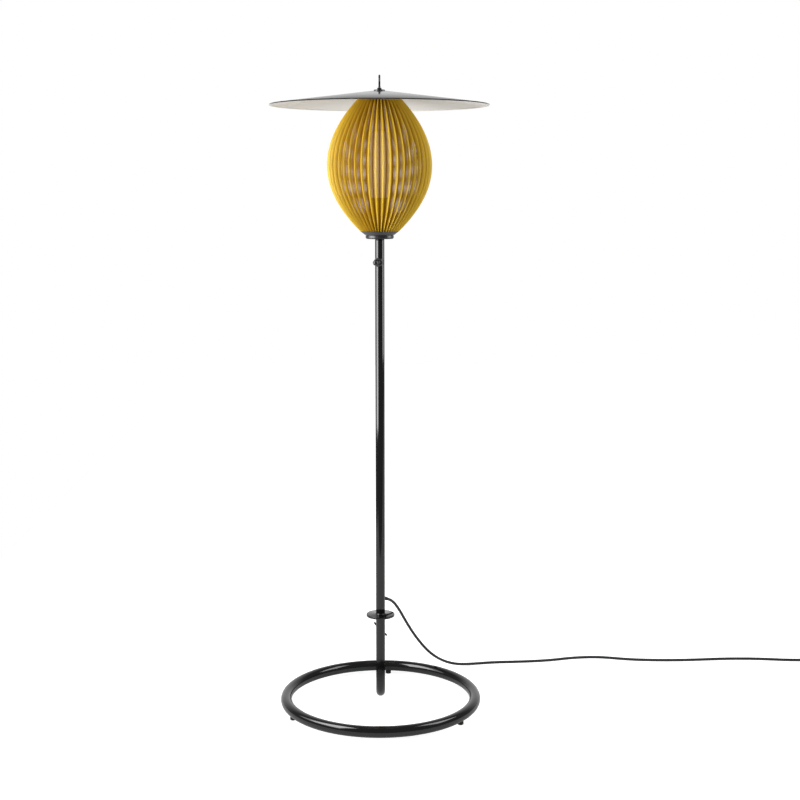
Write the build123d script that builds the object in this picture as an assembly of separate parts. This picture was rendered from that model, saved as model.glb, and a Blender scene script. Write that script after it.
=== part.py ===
from build123d import *
import math
import os

# Outdoor floor lamp: a pleated lantern under a wide hat, on a pole that stands in a ring base.
# Millimetres, +Z up. The origin is on the floor under the pole's axis, and the front is towards -Y.

# Fits
slide_clearance = 0.2
turn_clearance = 0.1
seat_clearance = 0.3

# Ring base
ring_outer_diameter = 452.0
ring_bar_diameter = 25.0
foot_diameter = 13.0
foot_drop = 6.75
foot_saddle = 3.5
rear_foot_offset_deg = 5.0
foot_screw_diameter = 3.5
foot_screw_head_diameter = 7.0
foot_screw_head_height = 2.2
foot_screw_depth = 9.0
foot_screw_recess = 3.0

# Tubes of the stem and the pole
tube_diameter = 20.5
tube_wall = 1.5
stem_bend_radius = 40.0
stem_top_z = 209.0
spigot_wall = 1.5

# Wing screw behind the stem
wing_screw_drop = 41.0
wing_screw_diameter = 8.0
clamp_boss_diameter = 15.0
clamp_boss_length = 8.0
wing_hub_diameter = 13.0
wing_hub_length = 9.0
wing_span = 44.0
wing_thickness = 4.0
wing_rise = 8.0
wing_tip_diameter = 6.0
wing_turn_deg = 47.0

# Pole and its stop flange
flange_diameter = 63.5
flange_thickness = 5.0
flange_edge_round = 1.2
flange_collar_diameter = 24.5
flange_collar_height = 1.6
pole_spigot_below = 114.0
pole_spigot_above = 18.0
pole_top_z = 1053.0

# Thumb screw on the pole's front
thumb_screw_drop = 50.0
thumb_screw_diameter = 6.0
thumb_boss_diameter = 19.5
thumb_boss_length = 6.5
thumb_boss_round = 1.5
thumb_neck_diameter = 7.5
thumb_ball_diameter = 12.0
thumb_reach = 37.0
thumb_turn_deg = 14.0

# Lantern foot, cup and seats
lantern_spigot_length = 88.0
dish_diameter = 61.0
dish_height = 7.5
dish_round = 3.5
dish_web = 3.5
gasket_diameter = 57.0
gasket_height = 1.0
cup_bottom_diameter = 63.5
cup_top_diameter = 82.2
cup_height = 7.4
sheet_wall = 1.2
seat_height = 9.0
nipple_diameter = 10.0
nipple_bore = 7.4
nipple_below = 8.0
nut_diameter = 15.0
nut_height = 3.0

# Pleated shade
shade_diameter = 226.2
shade_lower_height = 139.6
shade_upper_height = 143.0
shade_lower_end_diameter = 83.4
shade_upper_end_diameter = 90.4
pleat_count = 46
pleat_depth_middle = 9.5
pleat_depth_end = 12.0
pleat_wall = 0.6
window_fold_step = 4
window_rows = 2
window_band = 2.6
window_web = 8.0

# Lamp holder and lamp
holder_diameter = 38.0
holder_height = 72.0
holder_rib_count = 24
holder_rib_depth = 0.8
holder_foot_height = 14.0
holder_socket_depth = 42.0
screw_shell_diameter = 28.8
screw_shell_wall = 0.6
screw_shell_length = 26.0
lamp_cap_diameter = 26.4
lamp_cap_length = 27.0
lamp_glass_diameter = 37.5
lamp_glass_length = 142.0
lamp_glass_wall = 1.0
lamp_glass_round = 12.0
lamp_neck_length = 9.0
led_carrier_diameter = 14.0
led_carrier_length = 110.0

# Hat and hanging eye
hat_diameter = 470.0
hat_rise = 29.0
hat_wall = 1.2
hat_hem_width = 5.0
hat_flat_diameter = 26.0
hat_washer_diameter = 24.0
hat_washer_height = 2.2
hat_spacer_diameter = 24.0
hat_spacer_height = 5.7
cap_top_diameter = 70.0
cap_height = 8.0
eye_wire_diameter = 4.2
eye_loop_diameter = 26.0
eye_shank_diameter = 5.0
eye_neck = 4.0
eye_nut_diameter = 9.2
eye_nut_height = 3.6
cap_nut_height = 5.0

# Cord, coil and plug
cord_diameter = 6.5
gland_length = 21.0
gland_root_diameter = 9.4
gland_tip_diameter = 7.5
gland_rise = 37.7
gland_azimuth_deg = 60.4
gland_dip_deg = 20.0
inner_bend_radius = 10.0
coil_gap = 0.6
coil_half_turns = 4
coil_outer_radius = 49.5
coil_flare = 14.0
coil_x = 1122.0
coil_start_y = 280.0
tie_wall = 1.0
tie_width = 9.0
tie_play = 0.8
tie_round = 2.0
plug_sleeve_length = 28.0
plug_sleeve_diameter = 9.5
plug_body_length = 38.0
plug_width = 36.0
plug_thickness = 26.0
plug_pin_diameter = 4.8
plug_pin_length = 19.0
plug_pin_spacing = 19.0

# Values that follow from the driving sizes
ring_radius = (ring_outer_diameter - ring_bar_diameter) / 2
ring_z = foot_drop + ring_bar_diameter / 2
tube_radius = tube_diameter / 2
bore_radius = tube_radius - tube_wall
spigot_radius = bore_radius - slide_clearance
spigot_bore_radius = spigot_radius - spigot_wall
flange_top_z = stem_top_z + flange_thickness
wing_screw_z = stem_top_z - wing_screw_drop
gland_exit_z = flange_top_z + gland_rise
thumb_screw_z = pole_top_z - thumb_screw_drop
dish_top_z = pole_top_z + dish_height
cup_floor_z = dish_top_z + gasket_height
cup_top_z = cup_floor_z + cup_height
shade_bottom_z = cup_top_z + seat_clearance
shade_middle_z = shade_bottom_z + shade_lower_height
shade_top_z = shade_middle_z + shade_upper_height
holder_z = cup_floor_z + sheet_wall + nut_height
holder_top_z = holder_z + holder_height
cap_rim_z = shade_top_z + seat_clearance
cap_top_z = cap_rim_z + cap_height
hat_apex_z = cap_top_z + hat_spacer_height + hat_wall
hat_rim_z = hat_apex_z - hat_rise
cord_radius = cord_diameter / 2

os.makedirs("parts", exist_ok=True)
cut_reach = 2 * ring_outer_diameter


def save(node, shape):
    export_step(shape, os.path.join("parts", node + ".step"))


def rod(radius, start_z, end_z):
    return Pos(0, 0, start_z) * Cylinder(radius, end_z - start_z, align=(Align.CENTER, Align.CENTER, Align.MIN))


def pipe(radius, bore, start_z, end_z):
    return rod(radius, start_z, end_z) - rod(bore, start_z, end_z)


def turned(points):
    """A solid of revolution about Z from its half outline of (radius, z) points."""
    outline = Plane.XZ * make_face(Polyline(*points, close=True))
    return revolve(outline, Axis.Z)


def aimed(azimuth_deg, z, dip_deg=0.0):
    """A frame at height z on the pole's axis, with its Z pointing out along the azimuth and down by the dip."""
    azimuth = math.radians(azimuth_deg)
    dip = math.radians(dip_deg)
    out = Vector(math.cos(azimuth) * math.cos(dip), math.sin(azimuth) * math.cos(dip), -math.sin(dip))
    side = Vector(-math.sin(azimuth), math.cos(azimuth), 0)
    return Plane(origin=(0, 0, z), x_dir=side, z_dir=out)


def along(frame, radius, start, end):
    """A round bar on a frame's Z axis, from start to end."""
    return frame * rod(radius, start, end)


def bar():
    return Pos(0, 0, ring_z) * Torus(ring_radius, ring_bar_diameter / 2)


# Ring and stem
stem_path = FilletPolyline(
    (0, ring_radius, ring_z), (0, 0, ring_z), (0, 0, stem_top_z), radius=stem_bend_radius
)
stem_start = Plane(origin=stem_path @ 0, z_dir=stem_path % 0)
stem = sweep(stem_start * Circle(tube_radius), stem_path) - sweep(stem_start * Circle(bore_radius), stem_path)
wing_frame = aimed(90, wing_screw_z)
stem -= along(wing_frame, wing_screw_diameter / 2 + turn_clearance, 0, cut_reach)
stem -= bar()
save("base_stem", stem)

# Feet, each saddled to the bar and held by a screw from below
foot_angles = {
    "foot_rear": 90 - rear_foot_offset_deg,
    "foot_left": 210 - rear_foot_offset_deg,
    "foot_right": 330 - rear_foot_offset_deg,
}
screws = []
screw_holes = []
for name, angle in foot_angles.items():
    spot = Pos(
        ring_radius * math.cos(math.radians(angle)),
        ring_radius * math.sin(math.radians(angle)),
        0,
    )
    foot = rod(foot_diameter / 2, 0, foot_drop + foot_saddle)
    foot = chamfer(foot.edges().group_by(Axis.Z)[0], foot_saddle / 4)
    foot = spot * foot - bar()
    screw_top_z = foot_drop + foot_screw_depth
    head_top_z = foot_screw_recess + foot_screw_head_height
    shank = rod(foot_screw_diameter / 2, head_top_z, screw_top_z)
    screw = spot * (shank + rod(foot_screw_head_diameter / 2, foot_screw_recess, head_top_z))
    foot -= screw
    foot -= spot * rod(foot_screw_head_diameter / 2, 0, foot_screw_recess)
    screw_holes.append(spot * rod(foot_screw_diameter / 2, foot_drop - foot_saddle, screw_top_z))
    screws.append(screw)
    save(name, foot)
save("base_ring", bar() - screw_holes)
save("foot_screws", Compound(children=[solid for screw in screws for solid in screw.solids()]))

# Clamp boss and wing screw
clamp_boss_end = tube_radius + clamp_boss_length
clamp_boss = along(wing_frame, clamp_boss_diameter / 2, 0, clamp_boss_end)
clamp_boss = chamfer(clamp_boss.edges().sort_by(Axis.Y)[-1], clamp_boss_length / 8)
clamp_boss -= rod(tube_radius, 0, stem_top_z)
clamp_boss -= along(wing_frame, wing_screw_diameter / 2 + turn_clearance, 0, cut_reach)
save("clamp_boss", clamp_boss)

wing_hub_start = clamp_boss_end + seat_clearance
wing_hub_end = wing_hub_start + wing_hub_length
wing_screw = rod(wing_screw_diameter / 2, spigot_radius + seat_clearance, wing_hub_end)
wing_screw += Pos(0, 0, wing_hub_start) * Cone(
    wing_hub_diameter / 2,
    wing_hub_diameter / 2.6,
    wing_hub_length,
    align=(Align.CENTER, Align.CENTER, Align.MIN),
)
wing_top = wing_hub_end + wing_rise
wing_outline = Polyline(
    (0, wing_hub_start + wing_hub_length / 3),
    (wing_span / 2 - wing_tip_diameter / 4, wing_top - wing_tip_diameter),
    (wing_span / 2, wing_top - wing_tip_diameter / 2),
    (wing_span / 2 - wing_tip_diameter / 2, wing_top),
    (0, wing_hub_end),
    close=True,
)
wing = extrude(Plane.XZ * make_face(wing_outline), wing_thickness / 2, both=True)
wing_tips = wing.edges().filter_by(Axis.Y).group_by(Axis.X)[1:]
wing = fillet([edge for group in wing_tips for edge in group], wing_tip_diameter / 5)
wing = fillet(wing.edges().filter_by(lambda edge: edge.center().X > wing_hub_diameter / 2), wing_thickness / 5)
wing_screw += wing
wing_screw += Rot(0, 0, 180) * wing
wing_screw = wing_frame * (Rot(0, 0, wing_turn_deg) * wing_screw)
save("wing_screw", wing_screw)

# Pole, stop flange and the spigot that stands in the stem
gland_frame = aimed(gland_azimuth_deg, gland_exit_z, gland_dip_deg)
thumb_frame = aimed(270 - thumb_turn_deg, thumb_screw_z)
pole = pipe(tube_radius, bore_radius, flange_top_z, pole_top_z)
pole -= along(gland_frame, gland_root_diameter / 2, 0, cut_reach)
pole -= along(thumb_frame, thumb_screw_diameter / 2 + turn_clearance, 0, cut_reach)
save("pole_tube", pole)

flange = rod(flange_diameter / 2, stem_top_z, flange_top_z)
flange = fillet(flange.edges().filter_by(GeomType.CIRCLE), flange_edge_round)
collar = Pos(0, 0, flange_top_z) * Cone(
    flange_collar_diameter / 2,
    tube_radius,
    flange_collar_height,
    align=(Align.CENTER, Align.CENTER, Align.MIN),
)
collar -= rod(tube_radius, flange_top_z, flange_top_z + flange_collar_height)
flange += collar
flange -= rod(spigot_radius, stem_top_z, flange_top_z)
save("pole_flange", flange)
save(
    "pole_spigot",
    pipe(spigot_radius, spigot_bore_radius, stem_top_z - pole_spigot_below, flange_top_z + pole_spigot_above),
)

# Cord gland, a tapered strain relief through the pole's wall
gland_start = bore_radius
gland_tip = tube_radius + gland_length
gland = along(gland_frame, gland_root_diameter / 2, 0, tube_radius)
taper = Cone(
    gland_root_diameter / 2,
    gland_tip_diameter / 2,
    gland_length,
    align=(Align.CENTER, Align.CENTER, Align.MIN),
)
gland += gland_frame * (Pos(0, 0, tube_radius) * taper)
gland -= rod(bore_radius, 0, pole_top_z)
gland -= along(gland_frame, cord_radius, 0, cut_reach)
save("cord_gland", gland)

# Lead inside the pole, from the gland's tip to the lamp holder
cable_top_z = holder_z + holder_foot_height
gland_mouth = gland_frame.from_local_coords((0, 0, gland_tip))
cable_path = FilletPolyline(
    gland_mouth, (0, 0, gland_exit_z), (0, 0, cable_top_z), radius=inner_bend_radius
)
cable_start = Plane(origin=cable_path @ 0, z_dir=cable_path % 0)
save("inner_cable", sweep(cable_start * Circle(cord_radius), cable_path))

# Thumb boss and ball ended thumb screw
thumb_boss_end = tube_radius + thumb_boss_length
thumb_boss = rod(thumb_boss_diameter / 2, 0, thumb_boss_end)
thumb_boss = fillet(thumb_boss.edges().sort_by(Axis.Z)[-1], thumb_boss_round)
thumb_boss = thumb_frame * thumb_boss
thumb_boss -= rod(tube_radius, 0, pole_top_z)
thumb_boss -= along(thumb_frame, thumb_screw_diameter / 2 + turn_clearance, 0, cut_reach)
save("thumb_boss", thumb_boss)

thumb_neck_start = thumb_boss_end + seat_clearance
thumb_screw = rod(thumb_screw_diameter / 2, spigot_radius + seat_clearance, thumb_neck_start)
neck = Pos(0, 0, thumb_neck_start) * Cone(
    thumb_neck_diameter / 2 + thumb_boss_round,
    thumb_neck_diameter / 2,
    thumb_reach - thumb_neck_start,
    align=(Align.CENTER, Align.CENTER, Align.MIN),
)
thumb_screw += neck
thumb_screw += Pos(0, 0, thumb_reach) * Sphere(thumb_ball_diameter / 2)
save("thumb_screw", thumb_frame * thumb_screw)

# Foot of the lantern: spigot in the pole, dish, gasket, cup and the hollow nipple that joins them
dish_step_z = dish_top_z - dish_web
save(
    "lantern_spigot",
    pipe(spigot_radius, spigot_bore_radius, pole_top_z - lantern_spigot_length, dish_step_z),
)
dish = rod(dish_diameter / 2, pole_top_z, dish_top_z)
dish = fillet(dish.edges().group_by(Axis.Z)[0], dish_round)
dish -= rod(spigot_radius, pole_top_z, dish_step_z)
dish -= rod(nipple_diameter / 2, dish_step_z, dish_top_z)
save("lantern_dish", dish)
save("base_gasket", pipe(gasket_diameter / 2, nipple_diameter / 2, dish_top_z, cup_floor_z))

cup_low = cup_bottom_diameter / 2
cup_high = cup_top_diameter / 2
save(
    "shade_cup",
    turned([
        (nipple_diameter / 2, cup_floor_z),
        (cup_low, cup_floor_z),
        (cup_high, cup_top_z),
        (cup_high - 1.4 * sheet_wall, cup_top_z),
        (cup_low - sheet_wall / 2, cup_floor_z + sheet_wall),
        (nipple_diameter / 2, cup_floor_z + sheet_wall),
    ]),
)
nipple_top_z = holder_z + holder_foot_height / 2
save("lamp_nipple", pipe(nipple_diameter / 2, nipple_bore / 2, dish_step_z - nipple_below, nipple_top_z))
nut_profile = RegularPolygon(nut_diameter / 2, 6) - Circle(nipple_diameter / 2)
save("cup_nut", Pos(0, 0, cup_floor_z + sheet_wall) * extrude(nut_profile, nut_height))


# Pleated shade: ridges and valleys are parabolas that are steepest at the ends
def fold_points(fold, middle_inset, end_inset, end_diameter, end_z):
    """Control points of one fold line on one skin, from the widest point to one end of the shade."""
    middle_depth, end_depth = (0, 0) if fold % 2 == 1 else (pleat_depth_middle, pleat_depth_end)
    middle_radius = shade_diameter / 2 - middle_depth - middle_inset
    end_radius = end_diameter / 2 - end_depth - end_inset
    half_way_z = (shade_middle_z + end_z) / 2
    stations = [(middle_radius, shade_middle_z), (middle_radius, half_way_z), (end_radius, end_z)]
    angle = math.pi * fold / pleat_count - math.pi / 2
    return [Vector(r * math.cos(angle), r * math.sin(angle), z) for r, z in stations]


def ruled(left, right):
    return Face.make_surface_from_curves(Bezier(*left).edge(), Bezier(*right).edge())


def radial_wall(end_diameter, depth):
    """The sheet's thickness measured along the radius, which grows as the folds close up."""
    half_fold = math.pi * (end_diameter / 2 - depth / 2) / pleat_count
    return pleat_wall / math.sin(math.atan2(half_fold, depth))


def stretch(points, start, end):
    """Control points of the part of a fold line between two shares of its height."""
    first, handle, last = points

    def blend(s, t):
        return first * ((1 - s) * (1 - t)) + handle * (s + t - 2 * s * t) + last * (s * t)

    return [blend(start, start), blend(start, end), blend(end, end)]


def window(left, right, start, end):
    """The four edges of one window between two fold lines, with a band of sheet left along each fold."""
    band = window_band / math.hypot(pleat_depth_middle, math.pi * shade_diameter / 2 / pleat_count)
    near = stretch([a + (b - a) * band for a, b in zip(left, right)], start, end)
    far = stretch([b + (a - b) * band for a, b in zip(left, right)], start, end)
    return [
        Bezier(*near).edge(),
        Line(near[2], far[2]).edge(),
        Bezier(*far).edge(),
        Line(near[0], far[0]).edge(),
    ]


def window_spans(height):
    """Where each row of windows starts and ends, as shares of the height from the middle to one end."""
    row = (height - seat_height) / window_rows
    starts = [index * row for index in range(window_rows)]
    return [((start + window_web / 2) / height, (start + row - window_web / 2) / height) for start in starts]


middle_wall = radial_wall(shade_diameter, pleat_depth_middle)
lower_wall = radial_wall(shade_lower_end_diameter, pleat_depth_end)
upper_wall = radial_wall(shade_upper_end_diameter, pleat_depth_end)
shade_ends = (
    (shade_lower_height, shade_lower_end_diameter, lower_wall, shade_bottom_z),
    (shade_upper_height, shade_upper_end_diameter, upper_wall, shade_top_z),
)


def shade_panel(first, last):
    """One panel of the folded sheet, from fold to fold, with windows for the light in one fold out of several."""
    faces = []
    for height, end_diameter, end_wall, end_z in shade_ends:
        folds = range(first, last + 1)
        outer = [fold_points(fold, 0, 0, end_diameter, end_z) for fold in folds]
        inner = [fold_points(fold, middle_wall, end_wall, end_diameter, end_z) for fold in folds]
        for index, fold in enumerate(folds[:-1]):
            spans = window_spans(height) if fold % window_fold_step == 1 else []
            outside = [window(*outer[index : index + 2], *span) for span in spans]
            inside = [window(*inner[index : index + 2], *span) for span in spans]
            for lines, windows in ((outer, outside), (inner, inside)):
                face = ruled(*lines[index : index + 2])
                faces.append(face.make_holes([Wire(edges) for edges in windows]) if windows else face)
            for outer_edges, inner_edges in zip(outside, inside):
                faces += [Face.make_surface_from_curves(a, b) for a, b in zip(outer_edges, inner_edges)]
        faces += [ruled(outer[0], inner[0]), ruled(outer[-1], inner[-1])]
        rim = [points[2] for points in outer + inner[::-1]]
        faces.append(Face(Wire.make_polygon(rim, close=True)))
    return Solid(Shell(faces))


front_folds = 2 * round(pleat_count / 4)
save("shade_front_right", shade_panel(0, front_folds))
save("shade_rear_right", shade_panel(front_folds, pleat_count))
save("shade_rear_left", shade_panel(pleat_count, 2 * pleat_count - front_folds))
save("shade_front_left", shade_panel(2 * pleat_count - front_folds, 2 * pleat_count))


# Conical seats inside the two ends of the shade, which carry the valleys
def valley_radius(from_end, span, end_diameter, end_wall):
    """Inner radius of the valleys at a distance from one end of the shade."""
    middle = shade_diameter / 2 - pleat_depth_middle - middle_wall
    end = end_diameter / 2 - pleat_depth_end - end_wall
    return middle - (middle - end) * (1 - from_end / span) ** 2


lower_shade = (shade_lower_height, shade_lower_end_diameter, lower_wall)
lower_inner = valley_radius(0, *lower_shade) - seat_clearance
lower_outer = valley_radius(seat_height, *lower_shade) - 2 * seat_clearance
save(
    "shade_seat",
    turned([
        (lower_inner, cup_floor_z + sheet_wall),
        (lower_inner, shade_bottom_z),
        (lower_outer, shade_bottom_z + seat_height),
        (lower_outer - sheet_wall, shade_bottom_z + seat_height),
        (lower_inner - sheet_wall, shade_bottom_z),
        (lower_inner - sheet_wall, cup_floor_z + sheet_wall),
    ]),
)
upper_shade = (shade_upper_height, shade_upper_end_diameter, upper_wall)
upper_inner = valley_radius(0, *upper_shade) - seat_clearance
upper_outer = valley_radius(seat_height, *upper_shade) - 2 * seat_clearance
save(
    "top_seat",
    turned([
        (upper_inner, shade_top_z),
        (upper_outer, shade_top_z - seat_height),
        (upper_outer - sheet_wall, shade_top_z - seat_height),
        (upper_inner - sheet_wall, shade_top_z),
    ]),
)

# Lamp holder with its screw shell and contact
socket_floor_z = holder_top_z - holder_socket_depth
holder = rod(holder_diameter / 2, holder_z, holder_top_z)
holder -= rod(nipple_diameter / 2, holder_z, nipple_top_z)
holder -= rod(nipple_bore / 2, nipple_top_z, socket_floor_z)
holder -= rod(screw_shell_diameter / 2, socket_floor_z, holder_top_z)
rib_gap = Pos(holder_diameter / 2, 0, (holder_z + holder_top_z) / 2) * Cylinder(
    holder_rib_depth, holder_height - 2 * holder_foot_height
)
holder -= [Rot(0, 0, 360 * rib / holder_rib_count) * rib_gap for rib in range(holder_rib_count)]
save("lamp_holder", holder)

shell_radius = screw_shell_diameter / 2
shell_start_z = socket_floor_z + nut_height
save("holder_shell", pipe(shell_radius, shell_radius - screw_shell_wall, shell_start_z, shell_start_z + screw_shell_length))
contact_top_z = socket_floor_z + nut_height
save("centre_contact", rod(nipple_diameter / 2, socket_floor_z, contact_top_z))

# Lamp: screw cap, opal glass tube and the board inside it
cap_start_z = contact_top_z + seat_clearance
glass_start_z = holder_top_z + lamp_neck_length / 3
cap_end_z = cap_start_z + lamp_cap_length
cap_radius = lamp_cap_diameter / 2
glass_radius = lamp_glass_diameter / 2
glass_end_z = glass_start_z + lamp_glass_length
lamp_cap = rod(cap_radius, cap_start_z + nut_height, cap_end_z)
lamp_cap += Pos(0, 0, cap_start_z) * Cone(
    nipple_diameter / 2,
    cap_radius,
    nut_height,
    align=(Align.CENTER, Align.CENTER, Align.MIN),
)
save("lamp_cap", lamp_cap)


def glass_body(inset):
    tube = rod(glass_radius - inset, glass_start_z + inset, glass_end_z - inset)
    tube = fillet(tube.edges().group_by(Axis.Z)[-1], lamp_glass_round - inset)
    tube = fillet(tube.edges().group_by(Axis.Z)[0], lamp_glass_round / 3 - inset)
    return tube


glass_neck = rod(cap_radius, cap_end_z, glass_start_z + lamp_glass_wall)
glass = glass_body(0) + glass_neck - glass_body(lamp_glass_wall)
save("lamp_glass", glass)
carrier_start_z = glass_start_z + lamp_glass_wall
carrier = rod(led_carrier_diameter / 2, carrier_start_z, carrier_start_z + led_carrier_length)
save("led_carrier", fillet(carrier.edges().group_by(Axis.Z)[-1], led_carrier_diameter / 4))
seal_top_z = glass_start_z - seat_clearance
save("holder_seal", pipe(holder_diameter / 2, cap_radius + seat_clearance, holder_top_z, seal_top_z))

# Hat: a shallow cone with a folded hem and a small flat at its middle
hat_radius = hat_diameter / 2
flat_radius = hat_flat_diameter / 2
hat_slope = hat_rise / (hat_radius - flat_radius)
hem_radius = hat_radius - hat_hem_width
hem_z = hat_rim_z + hat_hem_width * hat_slope
shank_hole = eye_shank_diameter / 2 + turn_clearance
hat = turned([
    (shank_hole, hat_apex_z),
    (flat_radius, hat_apex_z),
    (hat_radius, hat_rim_z),
    (hat_radius, hat_rim_z - 2 * hat_wall),
    (hem_radius, hem_z - 2 * hat_wall),
    (hem_radius, hem_z - hat_wall),
    (flat_radius, hat_apex_z - hat_wall),
    (shank_hole, hat_apex_z - hat_wall),
])
save("hat", hat)

# Cap that closes the top of the shade, with the spacer, washer and nut that hold the hat on it
cap_low = shade_upper_end_diameter / 2
cap_high = cap_top_diameter / 2
save(
    "top_cap",
    turned([
        (shank_hole, cap_top_z),
        (cap_high, cap_top_z),
        (cap_low, cap_rim_z),
        (cap_low - 1.4 * sheet_wall, cap_rim_z),
        (cap_high - sheet_wall / 2, cap_top_z - sheet_wall),
        (shank_hole, cap_top_z - sheet_wall),
    ]),
)
save("hat_spacer", pipe(hat_spacer_diameter / 2, shank_hole, cap_top_z, hat_apex_z - hat_wall))
washer_top_z = hat_apex_z + hat_washer_height
washer = pipe(hat_washer_diameter / 2, shank_hole, hat_apex_z, washer_top_z)
washer = chamfer(washer.edges().group_by(Axis.Z)[-1].sort_by(SortBy.RADIUS)[-1], hat_washer_height / 3)
save("hat_washer", washer)
cap_nut_z = cap_top_z - sheet_wall - cap_nut_height
cap_nut_profile = RegularPolygon(eye_nut_diameter / 2, 6) - Circle(shank_hole)
save("cap_nut", Pos(0, 0, cap_nut_z) * extrude(cap_nut_profile, cap_nut_height))

# Hanging eye: a wire loop on a threaded shank, with its lock nut
eye_nut_top_z = washer_top_z + eye_nut_height
loop_radius = (eye_loop_diameter - eye_wire_diameter) / 2
loop_z = eye_nut_top_z + eye_neck + loop_radius
eye = Pos(0, 0, loop_z) * (Rot(0, 90, 0) * Torus(loop_radius, eye_wire_diameter / 2))
eye += rod(eye_shank_diameter / 2, cap_nut_z, loop_z - loop_radius)
save("hanging_eye", eye)
eye_nut_profile = RegularPolygon(eye_nut_diameter / 2, 6) - Circle(eye_shank_diameter / 2)
save("eye_nut", Pos(0, 0, washer_top_z) * extrude(eye_nut_profile, eye_nut_height))

# Free cord: from the gland's tip down to the floor and along it to the coil
coil_lift = tie_wall + seat_clearance
coil_z = cord_radius + coil_lift
lead_end = (coil_x - cord_diameter, coil_start_y, coil_z)
lead_first = gland_frame.from_local_coords((0, 0, gland_tip + 24.0))
lead_points = [
    gland_mouth,
    lead_first,
    (42.0, 72.0, 0.846 * gland_mouth.Z),
    (64.0, 106.0, 0.637 * gland_mouth.Z),
    (90.0, 142.0, 0.430 * gland_mouth.Z),
    (119.0, 180.0, 0.249 * gland_mouth.Z),
    (151.0, 219.0, 0.114 * gland_mouth.Z),
    (186.0, 250.0, 0.033 * gland_mouth.Z),
    (226.0, 267.0, cord_radius),
    (278.0, 278.0, cord_radius),
    (345.0, 281.0, cord_radius),
    (418.0, 290.0, cord_radius),
    (482.0, 311.0, cord_radius),
    (548.0, 315.0, cord_radius),
    (616.0, 294.0, cord_radius),
    (690.0, 287.0, cord_radius),
    (768.0, 288.0, cord_radius),
    (850.0, 297.0, cord_radius),
    (935.0, 296.0, cord_radius),
    (1010.0, 284.0, cord_radius),
    (1069.0, coil_start_y, coil_z),
    lead_end,
]


def corner_radii(points):
    """The largest arc that each corner's two runs leave room for."""
    radii = []
    for before, corner, after in zip(points, points[1:], points[2:]):
        run_in = Vector(corner) - Vector(before)
        run_out = Vector(after) - Vector(corner)
        half_turn = math.radians(run_in.get_angle(run_out) / 2)
        radii.append(0.45 * min(run_in.length, run_out.length) / math.tan(half_turn))
    return radii


lead_radii = corner_radii(lead_points)
lead_path = FilletPolyline(*lead_points, radius=lead_radii)
lead_start = Plane(origin=lead_path @ 0, z_dir=lead_path % 0)
lead = sweep(lead_start * Circle(cord_radius), lead_path)
save("cord_lead", lead)
lead_length = lead_path.length
print("lead corner radii", [round(radius) for radius in lead_radii])
print("lead length", round(lead_length), "volume ratio", lead.volume / (math.pi * cord_radius**2 * lead_length))

# Coil: half circles that spiral in, climb a layer in the half turn at the middle, and spiral out again
coil_pitch = cord_diameter + coil_gap
coil_radii = [coil_outer_radius - step * coil_pitch / 2 for step in range(coil_half_turns + 1)]
# The half turns beside the climb step by a whole pitch, which leaves the climb room
coil_radii.append(coil_radii[-1] - coil_pitch)
plug_z = plug_thickness / 2
stops = [(radius, coil_z) for radius in coil_radii]
stops += [(radius, coil_z + coil_pitch) for radius in reversed(coil_radii)]
stops.append((coil_outer_radius + coil_flare, plug_z))
coil_y = coil_start_y + coil_outer_radius
turns = [Line(lead_end, (coil_x, coil_start_y, coil_z))]
for step, ((radius, z), (next_radius, next_z)) in enumerate(zip(stops, stops[1:])):
    side = -1 if step % 2 == 0 else 1
    start = Vector(coil_x, coil_y + side * radius, z)
    end = Vector(coil_x, coil_y - side * next_radius, next_z)
    middle = (start + end) / 2
    bulge = Vector(-side * (end - start).length / 2, 0, 0)
    turns.append(ThreePointArc(start, middle + bulge, end))
coil_end = Vector(turns[-1] @ 1)
coil_tip = coil_end + Vector(cord_diameter, 0, 0)
turns.append(Line(coil_end, coil_tip))
coil_path = Wire([edge for turn in turns for edge in turn.edges()])
coil_start = Plane(origin=lead_end, z_dir=(1, 0, 0))
coil = sweep(coil_start * Circle(cord_radius), coil_path)
save("cord_coil", coil)
coil_length = coil_path.length
print("coil length", round(coil_length), "volume ratio", coil.volume / (math.pi * cord_radius**2 * coil_length))
print("cord length", round(lead_length + coil_length))

samples_per_turn = 24
samples = []
for turn in turns:
    count = samples_per_turn if turn.length > coil_outer_radius else 2
    samples += [Vector(turn @ (step / count)) for step in range(count)]
spacing = coil_length / len(samples)
skipped = math.ceil(coil_outer_radius / spacing)
least = min(
    (a - b).length
    for index, a in enumerate(samples)
    for b in samples[index + skipped:]
)
print("least gap in the coil", round(least - cord_diameter, 2))

# Tie: a flat band round both layers of the coil, on the side away from the plug
band_low = coil_y + coil_radii[-1] - cord_radius - tie_play
band_high = coil_y + coil_outer_radius + cord_radius + tie_play
band_top_z = coil_z + coil_pitch + cord_radius + seat_clearance
band_width = band_high - band_low
band_height = band_top_z - tie_wall
band_outside = RectangleRounded(band_width + 2 * tie_wall, band_height + 2 * tie_wall, tie_round + tie_wall)
band = extrude(band_outside - RectangleRounded(band_width, band_height, tie_round), tie_width / 2, both=True)
band_frame = Plane(
    origin=(coil_x, (band_low + band_high) / 2, (band_top_z + tie_wall) / 2), x_dir=(0, 1, 0), z_dir=(1, 0, 0)
)
save("cord_tie", band_frame * band)

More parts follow.
